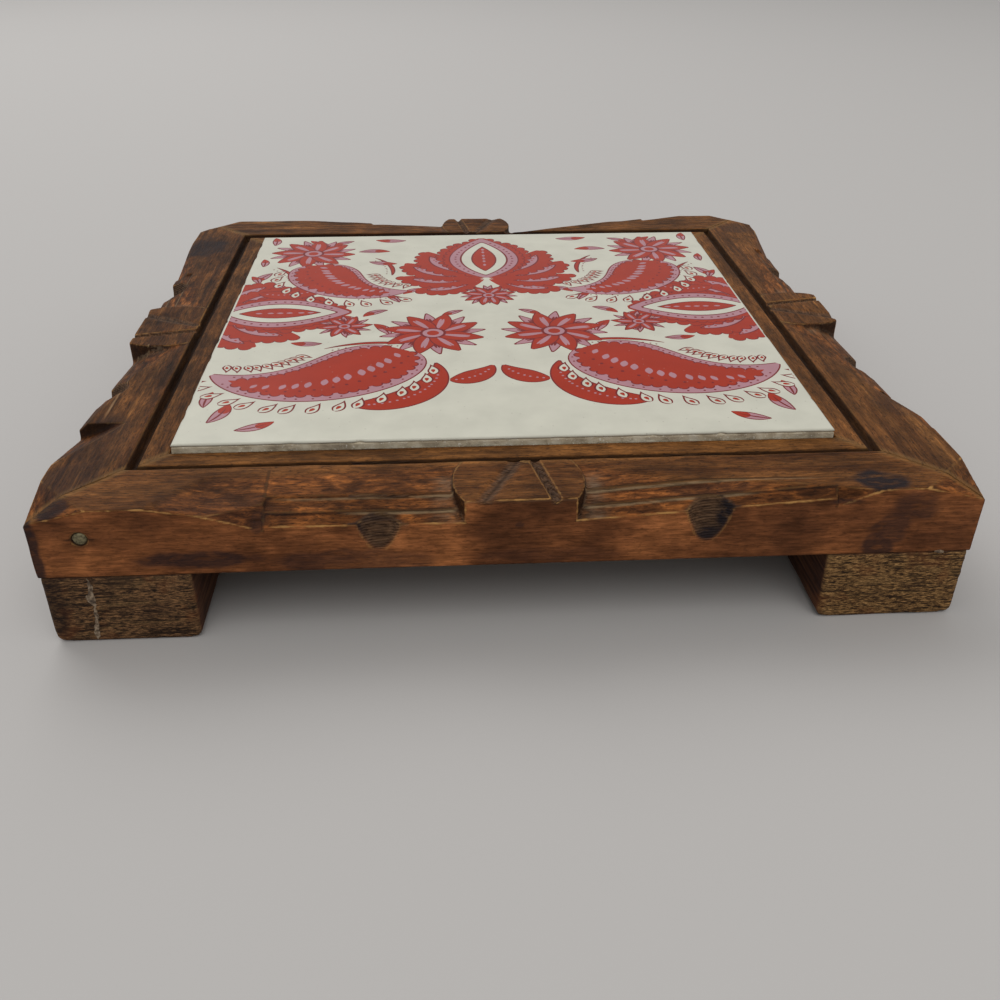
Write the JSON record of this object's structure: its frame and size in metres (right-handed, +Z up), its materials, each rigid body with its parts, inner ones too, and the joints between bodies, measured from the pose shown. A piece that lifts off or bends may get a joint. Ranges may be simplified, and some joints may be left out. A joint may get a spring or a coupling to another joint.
{
  "type": "tile trivet",
  "caption": "Square table trivet: a glazed ornamental tile set in a carved, mitred wooden frame on full-length runners.",
  "frame": {"origin": "middle of the footprint, on the table", "axes": "+X to the right, +Y away from the viewer, +Z up, square to the tile"},
  "size_m": [0.202, 0.202, 0.0355],
  "materials": {
    "carved_wood": "stained and waxed, rubbed on the arrises",
    "runner_wood": "stained, rough-sawn end grain",
    "glazed_tile": "glossy white glaze with red and mauve ornament",
    "panel_wood": "bare plywood",
    "adhesive": "dry tile adhesive",
    "nail_steel": "dull, aged"
  },
  "bodies": {
    "root": {"rail_front": "carved_wood", "rail_right": "carved_wood", "rail_back": "carved_wood", "rail_left": "carved_wood", "tile": "glazed_tile", "tile_adhesive": "adhesive", "backing_panel": "panel_wood", "foot_left": "runner_wood", "foot_right": "runner_wood", "corner_nail_front_left": "nail_steel", "corner_nail_front_right": "nail_steel", "corner_nail_back_right": "nail_steel", "corner_nail_back_left": "nail_steel", "foot_nail_left_front": "nail_steel", "foot_nail_left_middle": "nail_steel", "foot_nail_left_back": "nail_steel", "foot_nail_right_front": "nail_steel", "foot_nail_right_middle": "nail_steel", "foot_nail_right_back": "nail_steel", "panel_brad_front_left": "nail_steel", "panel_brad_front_right": "nail_steel", "panel_brad_right_front": "nail_steel", "panel_brad_right_back": "nail_steel", "panel_brad_back_right": "nail_steel", "panel_brad_back_left": "nail_steel", "panel_brad_left_back": "nail_steel", "panel_brad_left_front": "nail_steel"}
  },
  "joints": []
}
